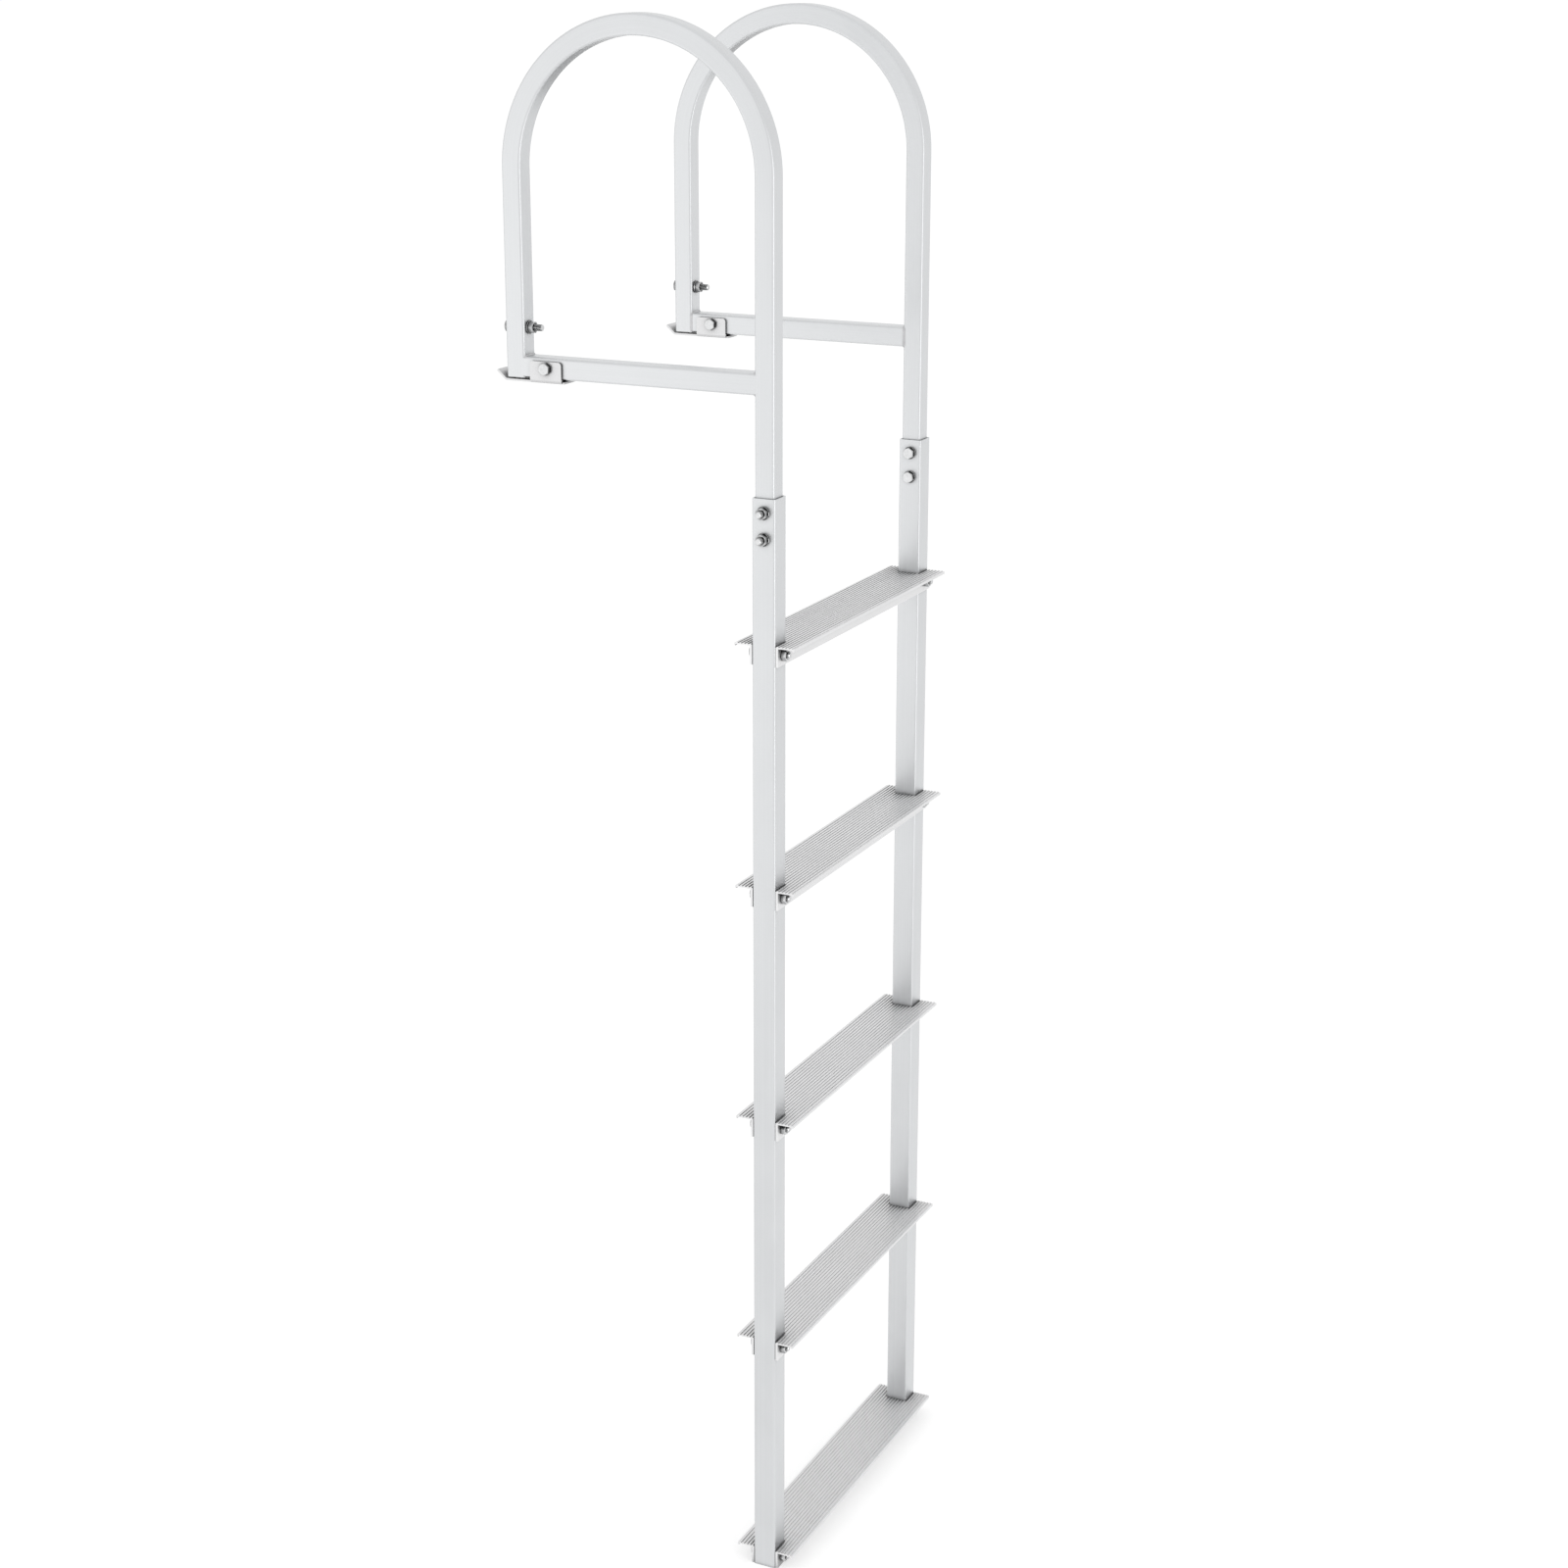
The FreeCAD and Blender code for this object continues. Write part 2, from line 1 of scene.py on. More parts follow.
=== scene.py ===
"""Looks of the dock ladder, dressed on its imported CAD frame.

Metres, in the part's own frame: +X runs from the left rail to the right one, +Y towards the dock, +Z up.
Every place comes from the boxes of the CAD nodes, so each piece sits where the frame holds it.
"""

import json
import math
import random

import bmesh
import bpy
from mathutils import Matrix, Vector

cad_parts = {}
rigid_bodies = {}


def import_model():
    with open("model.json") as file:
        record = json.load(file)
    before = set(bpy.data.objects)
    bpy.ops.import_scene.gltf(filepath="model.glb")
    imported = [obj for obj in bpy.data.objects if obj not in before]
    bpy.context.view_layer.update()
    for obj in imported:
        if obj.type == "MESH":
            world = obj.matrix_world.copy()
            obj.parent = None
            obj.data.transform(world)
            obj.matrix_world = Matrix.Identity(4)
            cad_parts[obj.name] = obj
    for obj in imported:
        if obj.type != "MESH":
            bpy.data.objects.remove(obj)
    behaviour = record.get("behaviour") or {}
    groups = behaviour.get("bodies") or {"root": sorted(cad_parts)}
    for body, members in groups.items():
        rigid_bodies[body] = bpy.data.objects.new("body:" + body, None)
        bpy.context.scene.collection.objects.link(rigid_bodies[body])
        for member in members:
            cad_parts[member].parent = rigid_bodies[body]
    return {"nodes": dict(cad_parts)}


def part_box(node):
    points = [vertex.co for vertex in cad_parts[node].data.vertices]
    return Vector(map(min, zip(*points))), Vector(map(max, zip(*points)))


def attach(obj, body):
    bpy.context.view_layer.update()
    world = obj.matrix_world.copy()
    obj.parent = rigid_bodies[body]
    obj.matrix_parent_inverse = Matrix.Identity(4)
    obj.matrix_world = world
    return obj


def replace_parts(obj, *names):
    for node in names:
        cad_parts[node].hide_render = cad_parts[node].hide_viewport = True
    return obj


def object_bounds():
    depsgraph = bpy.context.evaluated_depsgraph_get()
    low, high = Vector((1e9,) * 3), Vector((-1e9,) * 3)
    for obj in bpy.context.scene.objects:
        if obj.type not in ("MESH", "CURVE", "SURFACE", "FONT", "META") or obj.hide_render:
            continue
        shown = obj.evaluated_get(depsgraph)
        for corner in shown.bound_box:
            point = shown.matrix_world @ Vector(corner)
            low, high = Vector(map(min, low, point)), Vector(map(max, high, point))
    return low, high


for leftover in list(bpy.data.objects):
    bpy.data.objects.remove(leftover)

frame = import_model()
cad_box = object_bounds()

MM = 0.001
SIDES = ("left", "right")
TREADS = 5
AXIS_X = Vector((1, 0, 0))
AXIS_Y = Vector((0, 1, 0))
AXIS_Z = Vector((0, 0, 1))
WHITE = (1.0, 1.0, 1.0, 1.0)

# Square tubes
TUBE_WALL = 2.0 * MM
HOOP_CORNER = 3.0 * MM
RAIL_CORNER = 2.6 * MM
BORE_CORNER = 0.6 * MM
CORNER_STEPS = 5
BEND_STEPS = 120

# Tread extrusion
PLATE = 2.6 * MM
RIB_COUNT = 17
RIB_PITCH = 4.4 * MM
RIB_WIDTH = 2.2 * MM
RIB_HEIGHT = 0.9 * MM
RIB_ROUND = 0.6 * MM
WEB = 3.0 * MM
WEB_GAP = 0.25 * MM
LIP_DROP = 4.2 * MM
LIP_WIDTH = 2.0 * MM
ROUND_STEPS = 3

# Hexagons: the chamfer leaves a round face, and the corners are eased to a share of their reach
HEX_FLATS = 13.0 * MM
HEX_FACE = 0.95 * HEX_FLATS / 2
HEX_EDGE = 0.985
HEX_SLOPE = math.tan(math.radians(30))
HEAD_HEIGHT = 5.3 * MM
HEAD_RING = 0.55 * HEX_FACE
BEARING = 0.4 * MM
NUT_BORE = 3.9 * MM
NUT_SINK = 0.6 * MM

# Shanks, threads and washers
SHANK_RADIUS = 4.0 * MM
THREAD_PITCH = 1.25 * MM
THREAD_DEPTH = 0.77 * MM
THREAD_LENGTH = 22.0 * MM
THREAD_CHAMFER = 0.9 * MM
RINGS_A_PITCH = 6
TURN_STEPS = 36
WASHER_RADIUS = 8.0 * MM
WASHER_THICK = 1.6 * MM
WASHER_EDGE = 0.3 * MM

# Degrees: the most that a spanner left a hexagon turned, and the corner that shades as an edge
SPANNER_TURN = 14.0
FASTENER_SHARP = 25

# Welds of the crossbars: a bead's legs, crown and root, then its least reach over both tubes
WELD_LEG = 1.6 * MM
WELD_CROWN = 0.25 * MM
WELD_ROOT = 2.3 * MM
WELD_SINK = 0.03 * MM
WELD_TOE = 0.2 * MM
WELD_INSET = 0.3 * MM
WELD_COVER = 1.02 * HOOP_CORNER
OPEN_END_COVER = 0.9 * TUBE_WALL
CROWN_SHARES = (0.2, 0.4, 0.6, 0.8)
RIPPLE = 1.7 * MM
RIPPLE_SHARE = 0.07
WELD_STEPS = 240

# The corner that shades as an edge, in degrees, and how squarely a ground face looks outward
WELD_SHARP = 50
GROUND_FLUSH = 0.96

# Edges of the bracket's sheet: vertices this near are one, and corners from this angle are broken
BRACKET_JOIN = 0.005 * MM
BRACKET_EDGE = 0.3 * MM
BRACKET_CORNER = 40

# A pattern starts somewhere in the first metres of its run, so that no two tubes show the same marks.
RUN_START = 5.0
rng = random.Random(11)


def middle(node):
    """Middle of a CAD node's box."""
    low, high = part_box(node)
    return (low + high) / 2


def arc(centre, radius, start, sweep, steps):
    """Points of an arc in the plane, in degrees; both ends are in it."""
    angles = [math.radians(start + sweep * step / steps) for step in range(steps + 1)]
    return [centre + radius * Vector((math.cos(angle), math.sin(angle))) for angle in angles]


def rounded_square(side, corner, steps):
    """Points round a square with rounded corners, about its middle."""
    reach = side / 2 - corner
    points = []
    for quarter in range(4):
        turn = Matrix.Rotation(math.radians(90 * quarter), 2)
        points += arc(turn @ Vector((reach, reach)), corner, 90 * quarter, 90, steps)
    return points


def walk_square(at, reach, corner):
    """The point and outward normal at a distance round a rounded square, from the middle of its +X side."""
    bend = corner * math.pi / 2
    quarter, left = divmod(at, 2 * reach + bend)
    if left < reach:
        point, normal = Vector((reach + corner, left)), Vector((1, 0))
    elif left < reach + bend:
        angle = (left - reach) / corner
        normal = Vector((math.cos(angle), math.sin(angle)))
        point = Vector((reach, reach)) + corner * normal
    else:
        back = left - reach - bend
        point, normal = Vector((reach - back, reach + corner)), Vector((0, 1))
    turn = Matrix.Rotation(math.radians(90 * quarter), 2)
    return turn @ point, turn @ normal


def skin(bm, lower, upper, closed=True):
    """Quads between two rows of vertices."""
    count = len(lower) if closed else len(lower) - 1
    for index in range(count):
        after = (index + 1) % len(lower)
        bm.faces.new((lower[index], lower[after], upper[after], upper[index]))


def make_piece(name, bm, material, sharp=30):
    """The bmesh as a smooth-shaded piece that rides on the ladder's one body; sharp is in degrees."""
    bmesh.ops.recalc_face_normals(bm, faces=bm.faces)
    mesh = bpy.data.meshes.new(name)
    bm.to_mesh(mesh)
    bm.free()
    mesh.polygons.foreach_set("use_smooth", [True] * len(mesh.polygons))
    mesh.set_sharp_from_angle(angle=math.radians(sharp))
    mesh.materials.append(material)
    piece = bpy.data.objects.new(name, mesh)
    bpy.context.scene.collection.objects.link(piece)
    even = piece.modifiers.new("even_normals", "WEIGHTED_NORMAL")
    even.keep_sharp = True
    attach(piece, "root")
    return piece


# Materials

AO_RAYS = 6
BEVEL_RAYS = 4
LIGHTEST = 0.95

# Extruded and rolled metal: features a metre, the first two for each of a metal's own lines,
# and how far its painted edge highlight reaches
FINE_LINES = 2.2
BROAD_LINES = 0.35
CLOUDS = (26.0, 26.0, 17.0)
SPECKS = (900.0, 900.0, 900.0)
DRAWN_EDGE = 0.7 * MM

# How much each of them shows in the colour, the roughness and the bumps
LINE_SHARE = 0.30
CLOUD_SHARE = 0.40
EDGE_HIGHLIGHT_SHARE = 0.35
LINE_ROUGHNESS = 0.035
CLOUD_ROUGHNESS = 0.03
SPECK_ROUGHNESS = 0.02
EDGE_POLISH = 0.08
SPECK_HEIGHT = 0.35

# Turned fasteners: features a metre, how far their painted edge highlight reaches, and how much each shows
GRAIN = (2600.0, 2600.0, 2600.0)
SMEARS = (240.0, 240.0, 240.0)
TURNED_EDGE = 0.35 * MM
SMEAR_SHARE = 0.6
TURNED_EDGE_HIGHLIGHT_SHARE = 0.5
GRAIN_ROUGHNESS = 0.02
SMEAR_ROUGHNESS = (-0.02, 0.03)

# Weld beads: features a metre, how much the frost shows, and the reach of their painted crevice shade
FROST = (1500.0, 1500.0, 1500.0)
SOOT = (160.0, 160.0, 160.0)
FROST_ROUGHNESS = 0.08
WELD_SHADE_REACH = 5.0 * MM

# Painted shade on upward faces beside something upright: how shut in the place is, and how far it faces up
SHADE_SHUT = (0.30, 0.66)
SHADE_UPWARD = (0.5, 0.9)


def start_material(name):
    """A node material and its Principled shader."""
    material = bpy.data.materials.new(name)
    material.use_nodes = True
    return material, material.node_tree, material.node_tree.nodes["Principled BSDF"]


def add(tree, kind, inputs=None, **settings):
    """A node with its settings; each input is a value or another node's output."""
    made = tree.nodes.new(kind)
    for key, value in settings.items():
        setattr(made, key, value)
    for key, value in (inputs or {}).items():
        if isinstance(value, bpy.types.NodeSocket):
            tree.links.new(value, made.inputs[key])
        else:
            made.inputs[key].default_value = value
    return made


def stretched_noise(tree, place, scale, detail=3.0):
    """Noise whose features are 1 / scale metres long along each axis of place."""
    vector = add(tree, "ShaderNodeVectorMath", {0: place, 1: scale}, operation="MULTIPLY")
    fine = add(tree, "ShaderNodeTexNoise", {"Vector": vector.outputs[0], "Scale": 1.0, "Detail": detail})
    return fine.outputs["Fac"]


def ranged(tree, value, low, high, start=0.3, end=0.7):
    """The value's stretch from start to end, as low to high."""
    inputs = {"Value": value, "From Min": start, "From Max": end, "To Min": low, "To Max": high}
    return add(tree, "ShaderNodeMapRange", inputs).outputs[0]


def arithmetic(tree, operation, first, second):
    """One sum or product of two values."""
    return add(tree, "ShaderNodeMath", {0: first, 1: second}, operation=operation).outputs[0]


def total(tree, *values):
    """The sum of several values."""
    result = values[0]
    for value in values[1:]:
        result = arithmetic(tree, "ADD", result, value)
    return result


def edge_mask(tree, reach, low=0.02, high=0.16):
    """0 on a flat face and 1 on an edge, from how far the normal turns within reach."""
    soft = add(tree, "ShaderNodeBevel", {"Radius": reach}, samples=BEVEL_RAYS)
    here = add(tree, "ShaderNodeNewGeometry")
    vectors = {0: soft.outputs[0], 1: here.outputs["Normal"]}
    align = add(tree, "ShaderNodeVectorMath", vectors, operation="DOT_PRODUCT")
    return ranged(tree, align.outputs["Value"], 1.0, 0.0, 1.0 - high, 1.0 - low)


def open_share(tree, reach):
    """The share of the directions over a face that are free of metal within reach."""
    return add(tree, "ShaderNodeAmbientOcclusion", {"Distance": reach}, samples=AO_RAYS).outputs["AO"]


def painted_crevice_shade(tree, reach, shut=0.08, clear=0.72, least=0.03):
    """A painted shade for creases, gaps and the sides of fasteners: least where the open share is shut or
    below, and 1 where it is clear or above.
    """
    return ranged(tree, open_share(tree, reach), least, 1.0, shut, clear)


def shaded_beside_uprights(tree, share, reach, depth):
    """A painted shade, deepened on upward faces beside something upright within reach."""
    beside = ranged(tree, open_share(tree, reach), depth, 0.0, *SHADE_SHUT)
    facing = add(tree, "ShaderNodeNewGeometry").outputs["Normal"]
    height = add(tree, "ShaderNodeSeparateXYZ", {0: facing}).outputs["Z"]
    upward_shade = arithmetic(tree, "MULTIPLY", beside, ranged(tree, height, 0.0, 1.0, *SHADE_UPWARD))
    return arithmetic(tree, "MULTIPLY", share, arithmetic(tree, "SUBTRACT", 1.0, upward_shade))


def tinted(tree, value, tone, darker, lighter=1.0):
    """The tone, from darker times itself to lighter times itself, by value from 0 to 1."""
    mix = add(tree, "ShaderNodeMix", {"Factor": value}, data_type="RGBA")
    dark, light = [socket for socket in mix.inputs if socket.type == "RGBA"]
    dark.default_value = (*[channel * darker for channel in tone], 1.0)
    light.default_value = (*[min(channel * lighter, LIGHTEST) for channel in tone], 1.0)
    return [socket for socket in mix.outputs if socket.type == "RGBA"][0]


def bare_metal(tree, shader, colour, share, rough):
    """The shader as metal, its colour dimmed to a share of itself by painted shade."""
    dimmed = add(tree, "ShaderNodeVectorMath", {0: colour, "Scale": share}, operation="SCALE")
    tree.links.new(dimmed.outputs[0], shader.inputs["Base Color"])
    tree.links.new(rough, shader.inputs["Roughness"])
    shader.inputs["Metallic"].default_value = 1.0


def bumpy(tree, shader, height, strength, depth):
    """Fine bumps on the shader where height rises, at most depth metres tall."""
    bump = add(tree, "ShaderNodeBump", {"Strength": strength, "Distance": depth, "Height": height})
    tree.links.new(bump.outputs[0], shader.inputs["Normal"])


def drawn_metal(name, tone, roughness, place_kind, lines, depth, painted_shade, extra_edge_highlight=0.0, upward_shade=None):
    """Extruded or rolled metal: die lines, long where lines is low, faint clouding, a painted highlight
    along edges and painted shade in crevices.
    """
    material, tree, shader = start_material(name)
    if place_kind == "run":
        place = add(tree, "ShaderNodeAttribute", attribute_name="run").outputs["Vector"]
    else:
        place = add(tree, "ShaderNodeTexCoord").outputs["Object"]
    fine = stretched_noise(tree, place, [FINE_LINES * scale for scale in lines], detail=2.0)
    broad = stretched_noise(tree, place, [BROAD_LINES * scale for scale in lines])
    cloud = stretched_noise(tree, place, CLOUDS, detail=4.0)
    speck = stretched_noise(tree, place, SPECKS, detail=2.0)
    edge = edge_mask(tree, DRAWN_EDGE)

    # Die lines and clouding are the metal's own; the edge term paints a highlight along every rounded edge.
    marks_and_edge_highlight = total(tree,
                  ranged(tree, fine, 0.0, LINE_SHARE),
                  ranged(tree, broad, 0.0, LINE_SHARE),
                  ranged(tree, cloud, 0.0, CLOUD_SHARE),
                  arithmetic(tree, "MULTIPLY", edge, EDGE_HIGHLIGHT_SHARE + extra_edge_highlight))
    # Painted shade: the colour darkens in creases, gaps and beside nearby parts, by how shut in each spot
    # is.
    share = painted_crevice_shade(tree, **painted_shade)
    # Painted shade on upward faces beside something upright, such as the treads' tops beside the rails.
    if upward_shade:
        share = shaded_beside_uprights(tree, share, **upward_shade)
    rough = total(tree,
                  ranged(tree, broad, -LINE_ROUGHNESS, LINE_ROUGHNESS),
                  ranged(tree, cloud, -CLOUD_ROUGHNESS, CLOUD_ROUGHNESS),
                  ranged(tree, speck, roughness - SPECK_ROUGHNESS, roughness + SPECK_ROUGHNESS),
                  arithmetic(tree, "MULTIPLY", edge, -EDGE_POLISH))
    bare_metal(tree, shader, tinted(tree, marks_and_edge_highlight, tone, darker=0.94, lighter=1.06), share, rough)
    height = total(tree, fine, arithmetic(tree, "MULTIPLY", speck, SPECK_HEIGHT))
    bumpy(tree, shader, height, strength=0.35, depth=depth)
    return material


def turned_metal(name, tone, roughness, painted_shade):
    """Bright stainless of small fasteners: fine grain, handling marks, a painted highlight along edges and
    painted shade on their sides.
    """
    material, tree, shader = start_material(name)
    place = add(tree, "ShaderNodeTexCoord").outputs["Object"]
    grain = stretched_noise(tree, place, GRAIN)
    smear = stretched_noise(tree, place, SMEARS)
    edge = edge_mask(tree, TURNED_EDGE)
    # Handling marks are the metal's own; the edge term paints a highlight along every rounded edge.
    marks_and_edge_highlight = total(tree,
                  ranged(tree, smear, 0.0, SMEAR_SHARE),
                  arithmetic(tree, "MULTIPLY", edge, TURNED_EDGE_HIGHLIGHT_SHARE))
    colour = tinted(tree, marks_and_edge_highlight, tone, darker=0.86, lighter=1.12)
    rough = total(tree,
                  ranged(tree, grain, roughness - GRAIN_ROUGHNESS, roughness + GRAIN_ROUGHNESS),
                  ranged(tree, smear, *SMEAR_ROUGHNESS))
    # Painted shade: the sides of heads, nuts and shanks darken towards the faces they stand on.
    bare_metal(tree, shader, colour, painted_crevice_shade(tree, **painted_shade), rough)
    bumpy(tree, shader, grain, strength=0.25, depth=0.02 * MM)
    return material


def weld_metal(name, tone, roughness):
    """Aluminium weld metal: frosty and a little duller than the tubes."""
    material, tree, shader = start_material(name)
    place = add(tree, "ShaderNodeTexCoord").outputs["Object"]
    frost = stretched_noise(tree, place, FROST, detail=4.0)
    soot = stretched_noise(tree, place, SOOT)
    colour = tinted(tree, ranged(tree, soot, 0.0, 1.0), tone, darker=0.84)
    rough = ranged(tree, frost, roughness - FROST_ROUGHNESS, roughness + FROST_ROUGHNESS)
    # Painted shade in the crevices round the bead.
    bare_metal(tree, shader, colour, painted_crevice_shade(tree, WELD_SHADE_REACH), rough)
    bumpy(tree, shader, frost, strength=0.4, depth=0.04 * MM)
    return material


STAINLESS = (0.62, 0.625, 0.63)

# Each painted_shade set below paints shade into the colour, darker where a spot is shut in by nearby metal.
tube_metal = drawn_metal("satin_aluminium_tube", (0.66, 0.67, 0.68), 0.38, "run",
                         lines=(900.0, 900.0, 1.6), depth=0.02 * MM,
                         painted_shade={"reach": 7.0 * MM, "shut": 0.10, "clear": 0.90, "least": 0.30})
# The treads also take painted shade on their tops beside the rails.
tread_metal = drawn_metal("ribbed_aluminium", (0.77, 0.77, 0.775), 0.38, "run",
                          lines=(1300.0, 1300.0, 2.0), depth=0.03 * MM, extra_edge_highlight=0.4,
                          painted_shade={"reach": 30.0 * MM, "shut": 0.05, "clear": 0.75},
                          upward_shade={"reach": 60.0 * MM, "depth": 0.80})
sheet_metal = drawn_metal("satin_stainless_sheet", (0.62, 0.62, 0.625), 0.30, "object",
                          lines=(300.0, 1400.0, 300.0), depth=0.015 * MM,
                          painted_shade={"reach": 10.0 * MM, "shut": 0.42, "clear": 0.88})
# Strong painted shade: the sides of heads and nuts go near black towards the faces they stand on.
bolt_metal = turned_metal("bright_stainless", STAINLESS, 0.07,
                          painted_shade={"reach": 12.0 * MM, "shut": 0.61, "clear": 0.96})
sheltered_metal = turned_metal("sheltered_stainless", STAINLESS, 0.10,
                               painted_shade={"reach": 9.0 * MM, "shut": 0.36, "clear": 0.80})
bead_metal = weld_metal("aluminium_weld", (0.60, 0.60, 0.61), 0.46)


# Square tubes

def square_tube(name, stations, across, side, corner):
    """A hollow square tube; each station is a centre and the direction of the section's second axis."""
    sections = (rounded_square(side, corner, CORNER_STEPS),
                rounded_square(side - 2 * TUBE_WALL, BORE_CORNER, CORNER_STEPS))
    bm = bmesh.new()
    run = bm.verts.layers.float_vector.new("run")
    shells = ([], [])
    along = rng.uniform(0, RUN_START)
    before = stations[0][0]
    for centre, outward in stations:
        along += (centre - before).length
        before = centre
        for section, shell in zip(sections, shells):
            ring = [bm.verts.new(centre + across * point.x + outward * point.y) for point in section]
            for vertex, point in zip(ring, section):
                vertex[run] = Vector((point.x, point.y, along))
            shell.append(ring)
    for shell in shells:
        for lower, upper in zip(shell, shell[1:]):
            skin(bm, lower, upper)
    for end in (0, -1):
        skin(bm, shells[0][end], shells[1][end])
    return make_piece(name, bm, tube_metal)


def handrail_hoop(side):
    """The bent hoop: long water leg, half circle over the top, short dock leg."""
    node = f"{side}_handrail_hoop"
    low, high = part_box(node)
    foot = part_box(f"{side}_crossbar")[0].z
    half = (high.x - low.x) / 2
    radius = (high.y - low.y) / 2 - half
    centre = Vector(((low.x + high.x) / 2, (low.y + high.y) / 2, high.z - half - radius))
    stations = [(Vector((centre.x, low.y + half, low.z)), -AXIS_Y)]
    for step in range(BEND_STEPS + 1):
        angle = math.pi * (1 - step / BEND_STEPS)
        outward = Vector((0, math.cos(angle), math.sin(angle)))
        stations.append((centre + radius * outward, outward))
    stations.append((Vector((centre.x, high.y - half, foot)), AXIS_Y))
    tube = square_tube(f"{side}_hoop_tube", stations, AXIS_X, 2 * half, HOOP_CORNER)
    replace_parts(tube, node)


def straight_tube(name, node, along, outward, corner):
    """A straight square tube in a CAD node's own box."""
    low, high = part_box(node)
    centre = (low + high) / 2
    reach = along * (along.dot(high - low) / 2)
    across = along.cross(outward)
    side = abs(across.dot(high - low))
    stations = [(centre - reach, outward), (centre + reach, outward)]
    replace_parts(square_tube(name, stations, across, side, corner), node)


# Welds

def weld_section(at, normal, outer, end):
    """A bead's section at a distance round the seam: x towards the leg, y out of the crossbar's face."""
    ground = max(0.0, normal.x * outer) ** 2
    open_end = end == "dock" and normal.y < 0
    stand = 0.0 if open_end else normal.y ** 2
    ripple = 1 - RIPPLE_SHARE + RIPPLE_SHARE * math.cos(math.tau * at / RIPPLE)
    proud = (1 - ground) * ripple
    leg = WELD_LEG * proud
    far = OPEN_END_COVER if open_end else max(leg, WELD_COVER) * (1 - stand)
    toe = Vector((-max(leg, WELD_TOE), -WELD_SINK))
    head = Vector((far + stand * WELD_SINK, stand * leg - (1 - stand) * WELD_SINK / 3))
    bulge = Vector((-stand, 1.0)).normalized() * WELD_CROWN * proud
    crown = [toe.lerp(head, share) + bulge * 4 * share * (1 - share) for share in CROWN_SHARES]
    root = [Vector((max(far / 2, WELD_INSET), -WELD_ROOT)), Vector((-WELD_TOE, -WELD_ROOT / 2))]
    return [toe, *crown, head, *root]


def weld_ring(side, end):
    """The weld round one end of a crossbar: proud beads, ground flush on the face away from the steps."""
    low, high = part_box(f"{side}_crossbar")
    to_leg = AXIS_Y if end == "dock" else -AXIS_Y
    seam = Vector(((low.x + high.x) / 2, high.y if end == "dock" else low.y, (low.z + high.z) / 2))
    outer = -1 if side == "left" else 1
    reach = (high.z - low.z) / 2 - HOOP_CORNER
    length = 8 * reach + math.tau * HOOP_CORNER
    bm = bmesh.new()
    rings = []
    for step in range(WELD_STEPS):
        at = length * step / WELD_STEPS
        point, normal = walk_square(at, reach, HOOP_CORNER)
        up = AXIS_X * normal.x + AXIS_Z * normal.y
        base = seam + AXIS_X * point.x + AXIS_Z * point.y
        section = weld_section(at, normal, outer, end)
        rings.append([bm.verts.new(base + to_leg * spot.x + up * spot.y) for spot in section])
    for lower, upper in zip(rings, rings[1:] + rings[:1]):
        skin(bm, lower, upper)
    bead = make_piece(f"{side}_{end}_weld", bm, bead_metal, WELD_SHARP)
    bead.data.materials.append(tube_metal)
    for face in bead.data.polygons:
        if face.normal.x * outer > GROUND_FLUSH:
            face.material_index = 1


# Treads

def rib_outline(first, last, centre, top):
    """The ribbed top from one rib to another, as points from low to high y."""
    points = []
    for number in range(first, last + 1):
        at = centre + (number - (RIB_COUNT - 1) / 2) * RIB_PITCH
        left = at - RIB_WIDTH / 2
        right = at + RIB_WIDTH / 2
        points.append(Vector((left, top - RIB_HEIGHT)))
        points += arc(Vector((left + RIB_ROUND, top - RIB_ROUND)), RIB_ROUND, 180, -90, ROUND_STEPS)
        points += arc(Vector((right - RIB_ROUND, top - RIB_ROUND)), RIB_ROUND, 90, -90, ROUND_STEPS)
        points.append(Vector((right, top - RIB_HEIGHT)))
    return points


def tread_outlines(low, high, inner):
    """The closed sections on the dock side and the water side of the rails, and the ribs between them."""
    centre = (low.y + high.y) / 2
    top = high.z
    under = top - PLATE
    groove = top - RIB_HEIGHT
    half = (high.y - low.y) / 2
    edge = centre + half
    side_ribs = int((half - inner) / RIB_PITCH)
    wing = [Vector((centre + inner, groove))]
    wing += rib_outline(RIB_COUNT - side_ribs, RIB_COUNT - 1, centre, top)
    wing += arc(Vector((edge - RIB_ROUND, groove - RIB_ROUND)), RIB_ROUND, 90, -90, ROUND_STEPS)
    wing += arc(Vector((edge - RIB_ROUND, top - LIP_DROP + RIB_ROUND)), RIB_ROUND, 0, -90, ROUND_STEPS)
    wing += [Vector((edge - LIP_WIDTH, top - LIP_DROP)), Vector((edge - LIP_WIDTH, under))]
    wing += [Vector((centre + inner + WEB, under)), Vector((centre + inner + WEB, low.z))]
    wing += [Vector((centre + inner, low.z)), Vector((centre + inner, under))]
    mirrored = [Vector((2 * centre - point.x, point.y)) for point in wing]
    return wing, mirrored, rib_outline(side_ribs, RIB_COUNT - 1 - side_ribs, centre, top)


